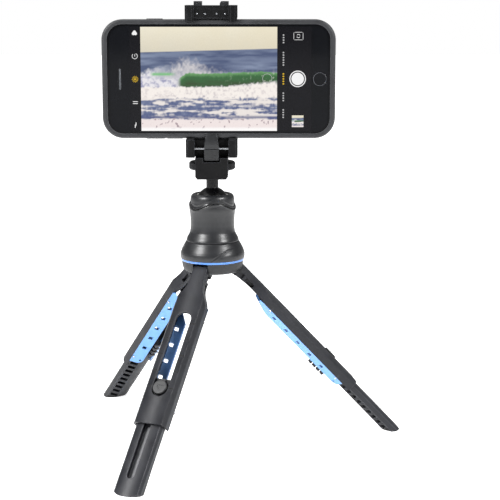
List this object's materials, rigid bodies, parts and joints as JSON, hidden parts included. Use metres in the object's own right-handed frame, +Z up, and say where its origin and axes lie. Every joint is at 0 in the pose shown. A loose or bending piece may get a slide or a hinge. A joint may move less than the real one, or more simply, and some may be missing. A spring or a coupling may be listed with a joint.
{
  "type": "mini tripod with phone clamp",
  "caption": "Small table tripod with telescopic folding legs, ball head and spring clamp with an accessory shoe, holding a phone in a soft case level as a camera.",
  "frame": {"origin": "on the floor, under the centre of the object's box with the legs open", "axes": "+Z up, +X to the right of someone looking at the screen, -Y towards them"},
  "size_m": [0.2015, 0.2139, 0.2755],
  "materials": {
    "leg_plastic": "fine-grained matt moulding, dark grey",
    "hub_plastic": "matt moulding, dark grey",
    "accent_plastic": "satin light blue moulding",
    "ring_plastic": "glossy blue band",
    "grip_rubber": "soft-touch satin black",
    "clamp_plastic": "fine-grained matt black moulding",
    "button_plastic": "matt black moulding",
    "ball_metal": "black satin coated metal",
    "nylon": "natural nylon, waxy",
    "steel": "turned steel",
    "spring_steel": "drawn spring wire",
    "brass": "turned brass",
    "shoe_metal": "black anodised sheet",
    "pad_rubber": "soft rubber",
    "case_rubber": "matt dark silicone",
    "phone_metal": "bead-blasted anodised aluminium",
    "cover_glass": "black-backed cover glass",
    "display": "lit display",
    "home_key": "glossy black key",
    "mesh_metal": "fine black mesh",
    "board": "solder-masked board",
    "cell": "foil-wrapped cell",
    "lens_black": "coated lens in a black barrel",
    "lamp": "diffuser of the lamp"
  },
  "bodies": {
    "base": {"leg_hub": "hub_plastic", "hub_bottom_cap": "hub_plastic", "centre_bolt": "steel", "accent_ring": "ring_plastic", "base_skirt": "grip_rubber", "front_leg_pin": "steel", "right_leg_pin": "steel", "left_leg_pin": "steel"},
    "front_leg": {"front_leg_upper": "leg_plastic", "front_leg_wings": "accent_plastic", "front_leg_wing_screws": "steel"},
    "front_leg_slider": {"front_leg_lower": "leg_plastic", "front_leg_button_spring": "spring_steel"},
    "front_leg_release": {"front_leg_button": "button_plastic"},
    "right_leg": {"right_leg_upper": "leg_plastic", "right_leg_wings": "accent_plastic", "right_leg_wing_screws": "steel"},
    "right_leg_slider": {"right_leg_lower": "leg_plastic", "right_leg_button_spring": "spring_steel"},
    "right_leg_release": {"right_leg_button": "button_plastic"},
    "left_leg": {"left_leg_upper": "leg_plastic", "left_leg_wings": "accent_plastic", "left_leg_wing_screws": "steel"},
    "left_leg_slider": {"left_leg_lower": "leg_plastic", "left_leg_button_spring": "spring_steel"},
    "left_leg_release": {"left_leg_button": "button_plastic"},
    "ball_lock": {"lock_sleeve": "grip_rubber", "lock_cap": "grip_rubber"},
    "seat": {"ball_seat": "nylon"},
    "ball": {"ball_stud": "ball_metal"},
    "clamp": {"base_block": "clamp_plastic", "lower_jaw": "clamp_plastic", "lower_jaw_pads": "pad_rubber", "hook_pin": "steel", "hook_spring": "spring_steel", "clamp_back": "clamp_plastic", "jaw_spring": "spring_steel"},
    "wheel": {"thumb_wheel": "clamp_plastic", "threaded_bush": "brass"},
    "hook": {"retaining_hook": "clamp_plastic"},
    "top_jaw": {"upper_jaw": "clamp_plastic", "upper_jaw_pad": "pad_rubber", "cold_shoe": "shoe_metal", "shoe_screws": "steel", "guide_rods": "steel"},
    "phone": {"phone_case": "case_rubber", "phone_housing": "phone_metal", "front_glass": "cover_glass", "earpiece_grille": "mesh_metal", "display_panel": "display", "battery": "cell", "logic_board": "board", "rear_camera": "lens_black", "rear_lamp": "lamp"},
    "home_key": {"home_button": "home_key"},
    "mute_key": {"mute_switch": "case_rubber"},
    "volume_up_key": {"volume_up_button": "case_rubber"},
    "volume_down_key": {"volume_down_button": "case_rubber"},
    "power_key": {"power_button": "case_rubber"}
  },
  "joints": [
    {"name": "front_leg_fold", "type": "hinge", "parent": "base", "child": "front_leg", "pos_m": [-0.02488, -0.00293, 0.1115], "axis": [0.9212, -0.3891, 0], "range_deg": [0, 42.5]},
    {"name": "front_leg_extend", "type": "slide", "parent": "front_leg", "child": "front_leg_slider", "axis": [0.2664, 0.6306, 0.729], "range_m": [0, 0.0444]},
    {"name": "front_leg_press", "type": "slide", "parent": "front_leg_slider", "child": "front_leg_release", "axis": [0.2837, 0.6715, -0.6845], "range_m": [0, 0.0012], "stiffness_N_per_m": 500, "springref_m": -0.001, "deforming": ["front_leg_button_spring"]},
    {"name": "right_leg_fold", "type": "hinge", "parent": "base", "child": "right_leg", "pos_m": [-0.0097, 0.00865, 0.1115], "axis": [-0.1323, 0.9912, 0], "range_deg": [0, 42.5]},
    {"name": "right_leg_extend", "type": "slide", "parent": "right_leg", "child": "right_leg_slider", "axis": [-0.6785, -0.0905, 0.729], "range_m": [0, 0.0444]},
    {"name": "right_leg_press", "type": "slide", "parent": "right_leg_slider", "child": "right_leg_release", "axis": [-0.7226, -0.0964, -0.6845], "range_m": [0, 0.0012], "stiffness_N_per_m": 500, "springref_m": -0.001, "deforming": ["right_leg_button_spring"]},
    {"name": "left_leg_fold", "type": "hinge", "parent": "base", "child": "left_leg", "pos_m": [-0.02737, 0.01587, 0.1115], "axis": [-0.788, -0.6157, 0], "range_deg": [0, 42.5]},
    {"name": "left_leg_extend", "type": "slide", "parent": "left_leg", "child": "left_leg_slider", "axis": [0.4214, -0.5394, 0.729], "range_m": [0, 0.0444]},
    {"name": "left_leg_press", "type": "slide", "parent": "left_leg_slider", "child": "left_leg_release", "axis": [0.4488, -0.5744, -0.6845], "range_m": [0, 0.0012], "stiffness_N_per_m": 500, "springref_m": -0.001, "deforming": ["left_leg_button_spring"]},
    {"name": "lock_twist", "type": "hinge", "parent": "base", "child": "ball_lock", "pos_m": [-0.0206, 0.0072, 0.14], "axis": [0, 0, 1], "range_deg": [0, 90]},
    {"name": "head_pan", "type": "hinge", "parent": "base", "child": "seat", "pos_m": [-0.0206, 0.0072, 0.1515], "axis": [0, 0, 1], "continuous": true},
    {"name": "ball_tilt", "type": "hinge", "parent": "seat", "child": "ball", "pos_m": [-0.0206, 0.0072, 0.1515], "axis": [1, 0, 0], "range_deg": [-30, 30]},
    {"name": "clamp_turn", "type": "hinge", "parent": "ball", "child": "clamp", "pos_m": [-0.0206, 0.0072, 0.17], "axis": [0, 0, 1], "continuous": true},
    {"name": "thumb_wheel_spin", "type": "hinge", "parent": "clamp", "child": "wheel", "pos_m": [-0.0206, 0.0072, 0.1751], "axis": [0, 0, 1], "continuous": true},
    {"name": "hook_rock", "type": "hinge", "parent": "clamp", "child": "hook", "pos_m": [-0.0206, -0.0051, 0.1865], "axis": [1, 0, 0], "range_deg": [0, 25], "stiffness_Nm_per_rad": 0.04, "springref_deg": -17.19, "deforming": ["hook_spring"]},
    {"name": "jaw_open", "type": "slide", "parent": "clamp", "child": "top_jaw", "axis": [0, 0, 1], "range_m": [0, 0.015], "stiffness_N_per_m": 350, "springref_m": -0.02, "deforming": ["jaw_spring"]},
    {"name": "phone_slide", "type": "slide", "parent": "clamp", "child": "phone", "axis": [1, 0, 0], "range_m": [-0.15, 0]},
    {"name": "home_press", "type": "slide", "parent": "phone", "child": "home_key", "axis": [0, 1, 0], "range_m": [0, 0.0003], "stiffness_N_per_m": 900, "springref_m": -0.0005},
    {"name": "mute_slide", "type": "slide", "parent": "phone", "child": "mute_key", "axis": [0, 1, 0], "range_m": [0, 0.0002]},
    {"name": "volume_up_press", "type": "slide", "parent": "phone", "child": "volume_up_key", "axis": [0, 0, 1], "range_m": [0, 0.00025], "stiffness_N_per_m": 900, "springref_m": -0.0005},
    {"name": "volume_down_press", "type": "slide", "parent": "phone", "child": "volume_down_key", "axis": [0, 0, 1], "range_m": [0, 0.00025], "stiffness_N_per_m": 900, "springref_m": -0.0005},
    {"name": "power_press", "type": "slide", "parent": "phone", "child": "power_key", "axis": [0, 0, -1], "range_m": [0, 0.00025], "stiffness_N_per_m": 900, "springref_m": -0.0005}
  ]
}
